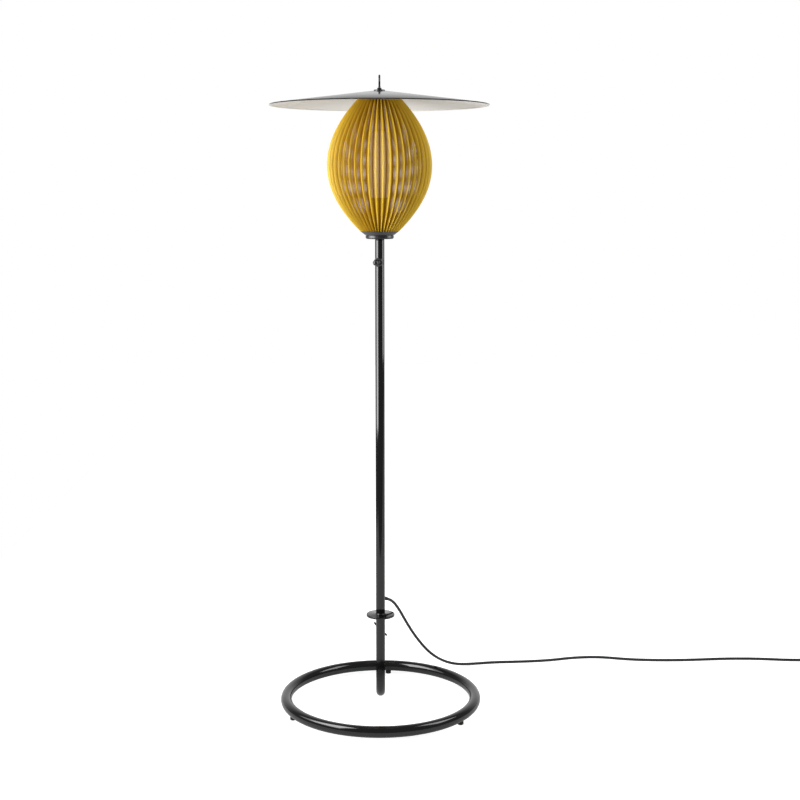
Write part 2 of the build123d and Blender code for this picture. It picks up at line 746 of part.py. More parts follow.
# Plug with a tapered sleeve, flattened on two sides so that it lies still on the floor
sleeve_end = plug_sleeve_length
face = sleeve_end + plug_body_length
waist = sleeve_end + plug_body_length / 2
plug = turned([
    (0, 0),
    (plug_sleeve_diameter / 2, 0),
    (plug_sleeve_diameter / 2 + 1.5, sleeve_end),
    (plug_width / 2 - 6, sleeve_end),
    (plug_width / 2 - 4, waist),
    (plug_width / 2, face - 6),
    (plug_width / 2, face),
    (0, face),
])
plug &= Box(plug_thickness, 2 * plug_width, 4 * face)
pin_places = [Pos(0, side * plug_pin_spacing / 2, face) for side in (1, -1)]
pin = rod(plug_pin_diameter / 2, -plug_pin_length / 2, plug_pin_length)
pin = fillet(pin.edges().group_by(Axis.Z)[-1], plug_pin_diameter / 4)
pins = [place * pin for place in pin_places]
plug -= pins
plug_frame = Plane(origin=coil_tip, x_dir=(0, 0, 1), z_dir=(1, 0, 0))
save("plug_body", plug_frame * plug)
save("plug_pins", Compound(children=[solid for shape in pins for solid in (plug_frame * shape).solids()]))
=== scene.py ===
# %% [markdown]
# # An outdoor floor lamp with a pleated lantern
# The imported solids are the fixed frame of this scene: they say where everything is and what moves.
# The cells below dress that frame, piece by piece, with smooth meshes and painted finishes. The
# lamp's own sizes are in millimetres, and MM turns them into Blender's metres.

# %% Load the frame
import math

import bmesh
import bpy
from mathutils import Matrix, Vector


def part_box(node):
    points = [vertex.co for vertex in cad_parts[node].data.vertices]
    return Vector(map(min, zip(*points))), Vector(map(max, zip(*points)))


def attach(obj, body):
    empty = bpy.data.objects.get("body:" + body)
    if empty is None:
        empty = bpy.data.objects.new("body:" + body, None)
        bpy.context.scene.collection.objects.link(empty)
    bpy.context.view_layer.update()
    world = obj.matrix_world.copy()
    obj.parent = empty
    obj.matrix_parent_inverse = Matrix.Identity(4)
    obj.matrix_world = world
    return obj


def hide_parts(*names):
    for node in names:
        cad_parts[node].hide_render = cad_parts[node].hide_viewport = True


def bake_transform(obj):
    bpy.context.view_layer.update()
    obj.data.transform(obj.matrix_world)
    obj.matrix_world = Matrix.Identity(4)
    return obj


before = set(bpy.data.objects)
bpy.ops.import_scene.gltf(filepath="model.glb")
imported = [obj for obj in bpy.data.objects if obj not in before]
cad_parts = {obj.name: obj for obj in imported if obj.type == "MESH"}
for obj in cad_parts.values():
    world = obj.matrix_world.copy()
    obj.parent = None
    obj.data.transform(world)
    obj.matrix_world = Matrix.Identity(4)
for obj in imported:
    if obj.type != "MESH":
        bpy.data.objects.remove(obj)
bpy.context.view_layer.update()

MM = 0.001

# %% [markdown]
# ## Camera
# The photograph is taken from about chest height, three metres away, looking a little down. The
# camera turns slightly to the right, because the lamp stands left of the picture's middle and its
# cord runs off to the right. A shift of the lens could do the same, but a turn also keeps other
# views centred.

# %% Camera
LENS, SENSOR_WIDTH, VIEW_LIMIT = 63.9, 36.0, 60.0
CAMERA_PLACE = (0.0, -3.092, 1.1623)
LOOK_DOWN_DEG, LOOK_RIGHT_DEG = 8.5, 0.814


def add_object(name, data):
    """A new object in the scene, at the origin."""
    made = bpy.data.objects.new(name, data)
    bpy.context.scene.collection.objects.link(made)
    return made


camera_data = bpy.data.cameras.new("photo_camera")
camera_data.sensor_width, camera_data.lens = SENSOR_WIDTH, LENS
camera_data.clip_end = VIEW_LIMIT
camera = add_object("photo_camera", camera_data)
camera.location = CAMERA_PLACE
camera.rotation_euler = (math.radians(90 - LOOK_DOWN_DEG), 0.0, math.radians(-LOOK_RIGHT_DEG))
bpy.context.scene.camera = camera
bpy.context.scene.view_settings.view_transform = "Standard"
print("camera", [round(x, 3) for x in camera.location])

# %% [markdown]
# ## Cord
# The mains lead leaves the pole through a rubber sleeve, hangs down behind it and lies along the
# floor. Its route is a list of control points for one smooth spline, which bends as a rubber lead
# does, where a chain of arcs would look like bent wire.

# %% Cord route
CORD_R = 3.25
CORD_DIAMETER = 2 * CORD_R * MM
COIL_Z = 4.55
route = [
    (14.50, 25.53, 241.01), (25.64, 45.14, 232.80), (42.0, 72.0, 203.9), (64.0, 106.0, 153.5),
    (90.0, 142.0, 103.6), (119.0, 180.0, 60.0), (151.0, 219.0, 27.5), (186.0, 250.0, 8.0),
    (226.0, 267.0, CORD_R), (278.0, 278.0, CORD_R), (345.0, 281.0, CORD_R), (418.0, 290.0, CORD_R),
    (482.0, 311.0, CORD_R), (548.0, 315.0, CORD_R), (616.0, 294.0, CORD_R), (690.0, 287.0, CORD_R),
    (768.0, 288.0, CORD_R), (850.0, 297.0, CORD_R), (935.0, 296.0, CORD_R),
    (1010.0, 284.0, CORD_R), (1069.0, 280.0, COIL_Z), (1115.5, 280.0, COIL_Z),
]
print("points along the floor", len(route))

# %% [markdown]
# ## Coil
# The length that the picture does not show is wound into a tied coil with the plug at its end. A
# helix would stand up like a spring, and a coil wound by hand lies flat: half turns wind in, climb
# a layer and wind out again, and each is half an oval between two stops.

# %% Coil
COIL_X, COIL_START_Y, COIL_R, COIL_PITCH = 1122.0, 280.0, 49.5, 7.1
PLUG_START, PLUG_Y, PLUG_Z = 1128.5, 266.0, 13.0
STOPS_INWARDS, POINTS_PER_HALF_TURN = 5, 8
coil_y = COIL_START_Y + COIL_R
radii = [COIL_R - step * COIL_PITCH / 2 for step in range(STOPS_INWARDS)]
radii.append(radii[-1] - COIL_PITCH)
stops = [(r, COIL_Z) for r in radii] + [(r, COIL_Z + COIL_PITCH) for r in reversed(radii)]
stops.append((coil_y - PLUG_Y, PLUG_Z))
half_step = math.pi / POINTS_PER_HALF_TURN
# A spline of order three runs inside its control points: a span's middle is three quarters its own
# point and one quarter its neighbours, so the points are spread by the inverse of that
spread = 1 / (0.75 + 0.25 * math.cos(half_step))
for step, ((r, z), (next_r, next_z)) in enumerate(zip(stops, stops[1:])):
    side = -1 if step % 2 == 0 else 1
    start = Vector((COIL_X, coil_y + side * r, z))
    end = Vector((COIL_X, coil_y - side * next_r, next_z))
    middle, half = (start + end) / 2, (end - start) / 2
    bulge = Vector((-side * half.length, 0, 0))
    for k in range(POINTS_PER_HALF_TURN):
        angle = (k + 0.5) * half_step
        route.append(tuple(middle + (bulge * math.sin(angle) - half * math.cos(angle)) * spread))
route += [(COIL_X, PLUG_Y, PLUG_Z), (PLUG_START, PLUG_Y, PLUG_Z)]
print("points with the coil", len(route))

# %% [markdown]
# ## Cord mesh
# A curve with a round bevel has the same thickness in every bend, which an extruded circle would
# not keep. The curve is read twice: bare, it is the line that the lead follows, and with its
# thickness it is the mesh.

# %% Cord mesh


def spline_through(name, points, resolution, closed=False):
    """A curve object with one spline of order three, its control points given in millimetres."""
    data = bpy.data.curves.new(name, "CURVE")
    data.dimensions = "3D"
    data.resolution_u = resolution
    spline = data.splines.new("NURBS")
    spline.points.add(len(points) - 1)
    for point, (x, y, z) in zip(spline.points, points):
        point.co = (x * MM, y * MM, z * MM, 1.0)
    spline.order_u = 3
    spline.use_cyclic_u = closed
    spline.use_endpoint_u = not closed
    return add_object(name, data)


def mesh_of(curve):
    """The mesh of a curve object as it stands, as a new mesh."""
    bpy.context.view_layer.update()
    graph = bpy.context.evaluated_depsgraph_get()
    return bpy.data.meshes.new_from_object(curve.evaluated_get(graph))


cord_line = spline_through("cord_line", route, resolution=6)
cord_path = [tuple(vertex.co) for vertex in mesh_of(cord_line).vertices]
cord_line.data.bevel_depth = CORD_DIAMETER / 2
cord_line.data.bevel_resolution = 4
cord_line.data.use_fill_caps = True
cord = add_object("cord", mesh_of(cord_line))
bpy.data.objects.remove(cord_line)
cord.data.shade_smooth()
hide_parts("cord_lead", "cord_coil")

# %% [markdown]
# ## Shared surface effects
# Two effects return on many finishes: the fine ripple that sprayed paint and moulded rubber have,
# and the slight cloudiness of a surface that has been handled. Each is a node group around one
# noise, built once and placed in each finish with its own values.

# %% Node groups


def noise_group(name, values, output, detail):
    """A shader group with named values and one output, around a noise on Object coordinates."""
    group = bpy.data.node_groups.new(name, "ShaderNodeTree")
    for label, value in values.items():
        socket = group.interface.new_socket(label, in_out="INPUT", socket_type="NodeSocketFloat")
        socket.default_value = value
    group.interface.new_socket(output, in_out="OUTPUT", socket_type="NodeSocketFloat")
    given, put = group.nodes.new("NodeGroupInput"), group.nodes.new("NodeGroupOutput")
    where = group.nodes.new("ShaderNodeTexCoord")
    noise = group.nodes.new("ShaderNodeTexNoise")
    noise.inputs["Detail"].default_value = detail
    group.links.new(where.outputs["Object"], noise.inputs["Vector"])
    group.links.new(given.outputs["Scale"], noise.inputs["Scale"])
    return group, given, put, noise


PAINT_RIPPLE, given, put, noise = noise_group(
    "paint_ripple", {"Scale": 400.0}, "Height", detail=2.0
)
PAINT_RIPPLE.links.new(noise.outputs["Fac"], put.inputs["Height"])

HANDLED_CLOUD, given, put, noise = noise_group(
    "handled_cloud", {"Scale": 12.0, "Low": 0.2, "High": 0.3}, "Roughness", detail=4.0
)
noise.inputs["Roughness"].default_value = 0.6
patches = HANDLED_CLOUD.nodes.new("ShaderNodeMapRange")
patches.inputs["From Min"].default_value = 0.3
patches.inputs["From Max"].default_value = 0.7
HANDLED_CLOUD.links.new(noise.outputs["Fac"], patches.inputs["Value"])
HANDLED_CLOUD.links.new(given.outputs["Low"], patches.inputs["To Min"])
HANDLED_CLOUD.links.new(given.outputs["High"], patches.inputs["To Max"])
HANDLED_CLOUD.links.new(patches.outputs["Result"], put.inputs["Roughness"])
print("groups", PAINT_RIPPLE.name, HANDLED_CLOUD.name)

# %% [markdown]
# ## A finish
# Paint, rubber, plastic and plated metal are all a Principled shader with the two groups plugged
# in. What differs is the colour, how far the roughness drifts and how strong the ripple is, so one
# function makes them all.

# %% A finish
CLOUD_SCALE, COLOUR_DRIFT, RIPPLE_DEPTH = 12.0, 1.7, 0.0004


def place_group(material, group, **values):
    """A node of the group in a material, with its values set."""
    node = material.node_tree.nodes.new("ShaderNodeGroup")
    node.node_tree = group
    for label, value in values.items():
        node.inputs[label].default_value = value
    return node


def finish(name, colour, rough, ripple=(400.0, 0.05), tint=0.12, **sockets):
    """A finish: its colour drifts by tint and its roughness between two values, and its ripple is
    (waves to the metre, strength)."""
    material = bpy.data.materials.new(name)
    material.use_nodes = True
    nodes, links = material.node_tree.nodes, material.node_tree.links
    shader = nodes["Principled BSDF"]
    for label, value in sockets.items():
        shader.inputs[label.replace("_", " ")].default_value = value
    cloud = place_group(material, HANDLED_CLOUD, Scale=CLOUD_SCALE, Low=rough[0], High=rough[1])
    links.new(cloud.outputs["Roughness"], shader.inputs["Roughness"])
    where = nodes.new("ShaderNodeTexCoord")
    drift = nodes.new("ShaderNodeTexNoise")
    drift.inputs["Scale"].default_value = CLOUD_SCALE * COLOUR_DRIFT
    drift.inputs["Detail"].default_value = 3.0
    mix = nodes.new("ShaderNodeMix")
    mix.data_type = "RGBA"
    mix.inputs["A"].default_value = (*[c * (1 - tint) for c in colour], 1)
    mix.inputs["B"].default_value = (*[min(1.0, c * (1 + tint)) for c in colour], 1)
    links.new(where.outputs["Object"], drift.inputs["Vector"])
    links.new(drift.outputs["Fac"], mix.inputs["Factor"])
    links.new(mix.outputs["Result"], shader.inputs["Base Color"])
    height = place_group(material, PAINT_RIPPLE, Scale=ripple[0])
    bump = nodes.new("ShaderNodeBump")
    bump.inputs["Strength"].default_value = ripple[1]
    bump.inputs["Distance"].default_value = RIPPLE_DEPTH
    links.new(height.outputs["Height"], bump.inputs["Height"])
    links.new(bump.outputs["Normal"], shader.inputs["Normal"])
    return material


print("a finish is ready to be called")

# %% [markdown]
# ## Paints
# The frame is sprayed in a high black gloss, the hat in a satin black with a warm white below, and
# the lantern in a dull ochre. A dull paint still has a little shine, which the specular level sets.

# %% Paints
GLOSS_BLACK = finish("gloss_black_paint", (0.004, 0.004, 0.0045), (0.07, 0.12), (220, 0.02))
HAT_BLACK = finish("satin_black_paint", (0.012, 0.012, 0.013), (0.14, 0.2), (500, 0.06))
SATIN_BLACK = finish("turned_satin_black", (0.01, 0.01, 0.011), (0.3, 0.38), (500, 0.06))
HAT_WHITE = finish("hat_underside_white", (0.9, 0.88, 0.825), (0.4, 0.5), (500, 0.06), tint=0.03)
CUP_GREY = finish("cup_grey_paint", (0.035, 0.036, 0.037), (0.4, 0.5), (600, 0.1))
OCHRE = finish(
    "ochre_paint", (0.73, 0.492, 0.036), (0.45, 0.55), (700, 0.1), tint=0.06,
    Specular_IOR_Level=0.2,
)
print("paints", len(bpy.data.materials))

# %% [markdown]
# ## Rubber, plastic, metal and glass
# The lead and its fittings are dull black rubber, plastic and webbing. The metal inside is plated.
# The lamp is off, and its opal glass has a faint painted glow that stands in for the light reaching
# it inside the lantern, which shows through the lantern's front folds.

# %% Other finishes
RUBBER = finish("black_rubber", (0.012, 0.012, 0.012), (0.6, 0.75), (900, 0.15))
CORD_RUBBER = finish("cord_rubber", (0.01, 0.01, 0.01), (0.42, 0.55), (1200, 0.12))
PLUG_PLASTIC = finish("plug_plastic", (0.014, 0.014, 0.014), (0.4, 0.5), (900, 0.15))
STRAP_WEBBING = finish("strap_webbing", (0.014, 0.014, 0.014), (0.8, 0.95), (1600, 0.8), tint=0.3)
HOLDER_PLASTIC = finish("holder_plastic", (0.02, 0.02, 0.02), (0.45, 0.55), (900, 0.1))
ZINC = finish("zinc_plate", (0.62, 0.61, 0.58), (0.25, 0.4), (300, 0.05), Metallic=1.0)
BRASS = finish("brass", (0.72, 0.53, 0.24), (0.25, 0.4), (300, 0.05), Metallic=1.0)
NICKEL = finish("nickel_plate", (0.7, 0.68, 0.65), (0.15, 0.25), (300, 0.04), Metallic=1.0)
BOARD_WHITE = finish("board_white", (0.8, 0.8, 0.78), (0.5, 0.6), tint=0.03)
# The lamp is switched off: its emission is a painted glow in place of the light inside the lantern
OPAL_PAINTED_GLOW = finish(
    "opal_glass_painted_glow", (0.88, 0.87, 0.84), (0.1, 0.16), (200, 0.02), tint=0.02, Coat_Weight=0.5,
    Emission_Color=(1.0, 0.95, 0.86, 1.0), Emission_Strength=0.3,
)
cord.data.materials.append(CORD_RUBBER)
print("finishes", len(bpy.data.materials))

# %% [markdown]
# ## Ochre in the folds
# Down in the valleys of the pleats the ochre is painted darker and browner: this is painted shade,
# where the folds shade each other. A shadow painted from the camera's side would slide in other
# views, so the mesh itself says how far each point is from valley to ridge, in an attribute, and the
# colour is multiplied by a tint that follows it.

# %% Ochre in the folds
# Painted shade of the folds: in the valley the ochre is multiplied by this tint, towards the ridge
# by less and less of it
VALLEY_PAINTED_SHADE = (0.58, 0.4, 0.1)
TINT_FROM, TINT_TO = 0.02, 1.0
nodes, links = OCHRE.node_tree.nodes, OCHRE.node_tree.links
shader = nodes["Principled BSDF"]
paint = shader.inputs["Base Color"].links[0].from_socket
fold = nodes.new("ShaderNodeAttribute")
fold.attribute_name = "fold"
rise = nodes.new("ShaderNodeMapRange")
rise.interpolation_type = "SMOOTHSTEP"
rise.inputs["From Min"].default_value = TINT_FROM
rise.inputs["From Max"].default_value = TINT_TO
tint = nodes.new("ShaderNodeMix")
tint.data_type = "RGBA"
tint.inputs["A"].default_value = (*VALLEY_PAINTED_SHADE, 1)
tint.inputs["B"].default_value = (1, 1, 1, 1)
# The painted shade darkens the ochre in the valleys
painted_valley_shade = nodes.new("ShaderNodeMix")
painted_valley_shade.data_type = "RGBA"
painted_valley_shade.blend_type = "MULTIPLY"
painted_valley_shade.inputs["Factor"].default_value = 1.0
links.new(fold.outputs["Fac"], rise.inputs["Value"])
links.new(rise.outputs["Result"], tint.inputs["Factor"])
links.new(paint, painted_valley_shade.inputs["A"])
links.new(tint.outputs["Result"], painted_valley_shade.inputs["B"])
links.new(painted_valley_shade.outputs["Result"], shader.inputs["Base Color"])
print("nodes in", OCHRE.name, len(nodes))

# %% [markdown]
# ## Turning
# Nearly every piece of this lamp is turned or bent from round stock. A lathe in the modeller is
# the spin operator: a few points of the half outline become a ring of faces. The bevel operator
# then breaks the sharp edges, as a file does at the end of the work.

# %% Turning
MERGE, SLIVER = 0.01, 0.001


def outline(bm, points):
    """A closed loop of edges through (radius, z) points in millimetres, in the XZ plane."""
    verts = [bm.verts.new((r * MM, 0, z * MM)) for r, z in points]
    return [bm.edges.new((a, b)) for a, b in zip(verts, verts[1:] + verts[:1])]


def turn_round(bm, edges, steps):
    """Spin edges about Z into a closed ring of faces."""
    bmesh.ops.spin(
        bm, geom=edges, cent=(0, 0, 0), axis=(0, 0, 1), angle=2 * math.pi, steps=steps,
        use_merge=True, use_duplicate=False,
    )
    bmesh.ops.remove_doubles(bm, verts=bm.verts, dist=MERGE * MM)
    bmesh.ops.dissolve_degenerate(bm, edges=bm.edges, dist=SLIVER * MM)
    bmesh.ops.recalc_face_normals(bm, faces=bm.faces)


def break_edges(bm, width, above_deg=25.0, segments=3, beyond=0.0):
    """Round every edge that is sharper than the angle and no nearer to Z than beyond."""
    limit = math.radians(above_deg)
    sharp = [e for e in bm.edges if len(e.link_faces) == 2 and e.calc_face_angle() > limit]
    sharp = [e for e in sharp if e.verts[0].co.xy.length >= beyond * MM]
    bmesh.ops.bevel(
        bm, geom=sharp, offset=width * MM, affect="EDGES", segments=segments, profile=0.5,
        material=-1, clamp_overlap=True,
    )


print("lathe ready")

# %% [markdown]
# ## From mesh to piece
# A finished mesh becomes a piece of the lamp: it gets its finish, rides on the body that carries
# it, and stands for the plain solids of the frame. Its place is in the mesh, so that the object
# itself stays at the origin and patterns do not slide.

# %% From mesh to piece


def make_piece(name, bm, material, body, nodes, smooth_deg=35.0):
    """Turn a bmesh into a piece that rides on a body and stands for CAD nodes."""
    mesh = bpy.data.meshes.new(name)
    bm.to_mesh(mesh)
    bm.free()
    piece = add_object(name, mesh)
    for one in material if isinstance(material, list) else [material]:
        mesh.materials.append(one)
    mesh.shade_smooth()
    mesh.set_sharp_from_angle(angle=math.radians(smooth_deg))
    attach(piece, body)
    if nodes:
        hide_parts(*nodes)
    print(name, "faces", len(mesh.polygons))
    return piece


def turned(name, points, material, body, nodes, steps, edge, beyond=0.0, matrix=None):
    """A piece turned about Z from its half outline, then set in place by a matrix."""
    bm = bmesh.new()
    turn_round(bm, outline(bm, points), steps)
    break_edges(bm, edge, beyond=beyond)
    if matrix is not None:
        bmesh.ops.transform(bm, matrix=matrix, verts=bm.verts)
    return make_piece(name, bm, material, body, nodes)


def moved(x, y, z):
    """The matrix of a move in millimetres."""
    return Matrix.Translation((x * MM, y * MM, z * MM))


def rotated(degrees, axis):
    """The matrix of a turn about an axis."""
    return Matrix.Rotation(math.radians(degrees), 4, axis)


print("pieces can be made")

# %% [markdown]
# ## Ring base
# The foot is a round bar rolled into a ring. It could be a torus primitive, but spinning a circle
# lets the number of steps follow the size, so that the ring stays smooth where it shines.

# %% Ring
RING_R, RING_Z, BAR_R = 213.5, 19.25, 12.5
bm = bmesh.new()
bar = bmesh.ops.create_circle(bm, segments=28, radius=BAR_R * MM)["verts"]
bmesh.ops.transform(bm, matrix=moved(RING_R, 0, RING_Z) @ rotated(90, "X"), verts=bar)
turn_round(bm, bm.edges[:], steps=180)
make_piece("ring", bm, GLOSS_BLACK, "base", ["base_ring"])

# %% [markdown]
# ## Stem
# One length of tube runs from the back of the ring to the middle and bends upright. A curve with a
# bevel could follow it, but a maker bends a straight tube: its end circle is extruded along the
# floor, spun through a quarter turn for the bend, and extruded up. Then the skin gets its wall.

# %% Stem
TUBE_R, TUBE_BORE_R, BEND_R, STEM_TOP = 10.25, 8.75, 40.0, 209.0


def verts_of(geom):
    """The vertices in a list of new geometry."""
    return [g for g in geom if isinstance(g, bmesh.types.BMVert)]


def edges_of(geom):
    """The edges in a list of new geometry."""
    return [g for g in geom if isinstance(g, bmesh.types.BMEdge)]


bm = bmesh.new()
tube_end = bmesh.ops.create_circle(bm, segments=32, radius=TUBE_R * MM)["verts"]
bmesh.ops.transform(bm, matrix=moved(0, RING_R, RING_Z) @ rotated(90, "X"), verts=tube_end)
grown = bmesh.ops.extrude_edge_only(bm, edges=bm.edges[:])["geom"]
bmesh.ops.translate(bm, vec=(0, (BEND_R - RING_R) * MM, 0), verts=verts_of(grown))
bent = bmesh.ops.spin(
    bm, geom=edges_of(grown), cent=(0, BEND_R * MM, (RING_Z + BEND_R) * MM), axis=(1, 0, 0),
    angle=math.radians(-90), steps=24, use_duplicate=False,
)["geom_last"]
grown = bmesh.ops.extrude_edge_only(bm, edges=edges_of(bent))["geom"]
upright = STEM_TOP - RING_Z - BEND_R
bmesh.ops.translate(bm, vec=(0, 0, upright * MM), verts=verts_of(grown))
bmesh.ops.remove_doubles(bm, verts=bm.verts, dist=MERGE * MM)
bmesh.ops.recalc_face_normals(bm, faces=bm.faces)
bmesh.ops.solidify(bm, geom=bm.faces[:], thickness=(TUBE_R - TUBE_BORE_R) * MM)
make_piece("stem", bm, GLOSS_BLACK, "base", ["base_stem"])

# %% [markdown]
# ## Pole
# The pole is a plain length of the same tube, standing on a turned disc that stops on the stem's
# top. The small fillet between disc and tube is drawn in the disc's outline, because a bevel on so
# narrow a step would fold over itself. The bevel only breaks the disc's rim.

# %% Pole
FLANGE_TOP, POLE_TOP = 214.0, 1053.0
DISC_R, DISC_BORE_R, FILLET_LIP = 31.75, 8.6, 0.3
FILLET = [(12.4, FLANGE_TOP), (11.2, 214.5), (10.5, 215.2), (TUBE_R, 216.2)]
turned(
    "pole",
    [(TUBE_BORE_R, FLANGE_TOP), (TUBE_R, FLANGE_TOP), (TUBE_R, POLE_TOP), (TUBE_BORE_R, POLE_TOP)],
    GLOSS_BLACK, "pole", ["pole_tube"], steps=40, edge=0.3,
)
turned(
    "stop_disc",
    [(DISC_BORE_R, STEM_TOP), (DISC_R, STEM_TOP), (DISC_R, FLANGE_TOP)]
    + FILLET
    + [(TUBE_R - FILLET_LIP, FLANGE_TOP), (DISC_BORE_R, FLANGE_TOP)],
    GLOSS_BLACK, "pole", ["pole_flange"], steps=72, edge=1.0, beyond=20.0,
)

# %% [markdown]
# ## Hat
# A wide shallow cone of sheet with a folded hem. The outline is that of the sheet: over the top,
# round the hem and back underneath, so that the black top and the pale underside are two finishes
# on one turned piece. A face that looks inwards or down is underside.

# %% Hat
HAT_R, HAT_RIM, HAT_TOP, HAT_WALL = 235.0, 1338.0, 1367.0, 1.2
HAT_HOLE_R, HAT_FLAT_R, HEM_WIDTH = 2.6, 13.0, 5.0
INWARDS, DOWNWARDS = -0.3, -0.7
hat_slope = (HAT_TOP - HAT_RIM) / (HAT_R - HAT_FLAT_R)
hem_in, hem_z, hem_wall = HAT_R - HEM_WIDTH, HAT_RIM + HEM_WIDTH * hat_slope, 2 * HAT_WALL
sheet_outline = [
    (HAT_HOLE_R, HAT_TOP), (HAT_FLAT_R, HAT_TOP), (HAT_R, HAT_RIM), (HAT_R, HAT_RIM - hem_wall),
    (hem_in, hem_z - hem_wall), (hem_in, hem_z - HAT_WALL),
    (HAT_FLAT_R, HAT_TOP - HAT_WALL), (HAT_HOLE_R, HAT_TOP - HAT_WALL),
]
bm = bmesh.new()
turn_round(bm, outline(bm, sheet_outline), steps=160)
break_edges(bm, width=0.5, above_deg=20.0, segments=2)
bm.normal_update()
for face in bm.faces:
    middle = face.calc_center_median()
    outwards = face.normal.dot(Vector((middle.x, middle.y, 0)).normalized())
    face.material_index = 1 if outwards < INWARDS or face.normal.z < DOWNWARDS else 0
make_piece("hat_cone", bm, [HAT_BLACK, HAT_WHITE], "hat", ["hat"])

# %% [markdown]
# ## Pleated lantern
# The lantern is one perforated sheet, folded into pleats whose ridges and valleys bulge as
# parabolas. A picture of holes on a plain sheet would not let the lamp show through from every
# side, so the holes are real, and one pleat is made from a flat grid and then repeated. First come
# the sizes and the curve of a fold. A fold is three radii: widest, lower end and upper end.

# %% Folds
PLEATS, HOLES_ACROSS, HOLE_ROWS = 46, 4, 162
SHADE_MIDDLE, SHADE_DOWN, SHADE_UP = 1208.8, 139.6, 143.0
RIDGE, VALLEY = (113.1, 41.7, 45.2), (103.6, 29.7, 33.2)
half_pleat = math.pi / PLEATS


def fold_radius(fold, z):
    """Radius of a ridge or valley at a height: a parabola each way from the widest place."""
    widest, low, high = fold
    rise = z - SHADE_MIDDLE
    end, span = (high, SHADE_UP) if rise > 0 else (low, SHADE_DOWN)
    return widest - (widest - end) * (rise / span) ** 2


print("ridge at the lower end", fold_radius(RIDGE, SHADE_MIDDLE - SHADE_DOWN))

# %% [markdown]
# ## Rows and columns of the sheet
# The holes are punched in the flat sheet, so they are as long near the ends as at the middle. Equal
# steps of height would stretch them where the ridge slants most, so the rows divide the ridge's
# own length. The columns leave a plain margin at each fold line.

# %% Rows and columns
FOLD_MARGIN, FINE_STEPS, TOLERANCE = 0.1, 2000, 1e-9


def even_heights(count):
    """Heights that divide the bulging ridge into equal lengths."""
    low = SHADE_MIDDLE - SHADE_DOWN
    heights = [low + (SHADE_DOWN + SHADE_UP) * i / FINE_STEPS for i in range(FINE_STEPS + 1)]
    lengths = [0.0]
    for a, b in zip(heights, heights[1:]):
        bulge = fold_radius(RIDGE, b) - fold_radius(RIDGE, a)
        lengths.append(lengths[-1] + math.hypot(b - a, bulge))
    chosen, i = [], 0
    for row in range(count + 1):
        while i < FINE_STEPS and lengths[i] < lengths[-1] * row / count - TOLERANCE:
            i += 1
        chosen.append(heights[i])
    return chosen


rows, columns = HOLE_ROWS + 2, 2 * (HOLES_ACROSS + 2)
heights = even_heights(rows)
hole_share = (1 - 2 * FOLD_MARGIN) / HOLES_ACROSS
# How far across the pleat each column line lies: 0 and 2 are valleys, 1 is the ridge
shares = [0.0] + [FOLD_MARGIN + hole_share * i for i in range(HOLES_ACROSS + 1)] + [1.0]
across = shares + [2 - share for share in reversed(shares[:-1])]
print("rows", rows, "columns", columns)

# %% [markdown]
# ## One pleat
# Thousands of holes cut one by one with a boolean would take very long, so a flat grid is folded to
# the curve of one pleat, every cell but the margins gets an inset, and the inset faces are deleted.
# The straight line from valley to ridge is bent a little towards a wave, because sheet cannot take
# a knife-sharp fold.

# %% One pleat
WEB, FOLD_ROUNDING = 0.46, 0.55


def cells_from_edge(flat, count):
    """How many cells of the grid lie before a coordinate, which runs from -1 to 1."""
    return (flat + 1) / 2 * count


def folded(share, z):
    """Place of a point of the sheet, with the pleat's ridge on +X."""
    ridge, valley = fold_radius(RIDGE, z), fold_radius(VALLEY, z)
    side = -1 if share < 1 else 1
    to_ridge = 1 - abs(1 - share)
    foot = Vector((valley * math.cos(half_pleat), side * valley * math.sin(half_pleat), z))
    wave = (1 - math.cos(math.pi * to_ridge)) / 2
    place = foot.lerp(Vector((ridge, 0, z)), to_ridge)
    place.x += (wave - to_ridge) * FOLD_ROUNDING * (ridge - foot.x)
    return place * MM


bm = bmesh.new()
bmesh.ops.create_grid(bm, x_segments=columns, y_segments=rows, size=1.0)
margins = (0, HOLES_ACROSS + 1, HOLES_ACROSS + 2, columns - 1)
punched = []
for face in bm.faces:
    spot = face.calc_center_median()
    column, row = int(cells_from_edge(spot.x, columns)), int(cells_from_edge(spot.y, rows))
    if column not in margins and 0 < row < rows - 1:
        punched.append(face)
for vert in bm.verts:
    column, row = cells_from_edge(vert.co.x, columns), cells_from_edge(vert.co.y, rows)
    vert.co = folded(across[round(column)], heights[round(row)])
bm.normal_update()
holes = len(punched)
bmesh.ops.inset_individual(bm, faces=punched, thickness=WEB * MM, use_even_offset=True)
bmesh.ops.delete(bm, geom=punched, context="FACES")
bmesh.ops.recalc_face_normals(bm, faces=bm.faces)
print("holes in one pleat", holes)

# %% [markdown]
# ## Depth in the fold
# Each point of the pleat keeps how far it is from valley to ridge, as the attribute from which the
# ochre's painted valley shade is read. It is written on the punched pleat, so that all the copies
# carry it.

# %% Depth in the fold
depth = bm.verts.layers.float.new("fold")
for vert in bm.verts:
    spot = vert.co / MM
    ridge, valley = fold_radius(RIDGE, spot.z), fold_radius(VALLEY, spot.z)
    vert[depth] = (math.hypot(spot.x, spot.y) - valley) / (ridge - valley)
pleat = bpy.data.meshes.new("pleat_pattern")
bm.to_mesh(pleat)
bm.free()
print("vertices in one pleat", len(pleat.vertices))

# %% [markdown]
# ## Panels
# Copies of the pleat are spun round into panels of three or four pleats, and the sheet gets its
# thickness. One mesh for the whole lantern would be too heavy to handle. The panels meet in
# valleys, three to each quarter of the frame's lantern.

# %% Panels
SHEET, PLEAT_MERGE = 0.4, 0.02
PANELS = {
    "front_right": (4, 4, 4),
    "rear_right": (4, 4, 3),
    "rear_left": (3, 4, 4),
    "front_left": (4, 4, 4),
}


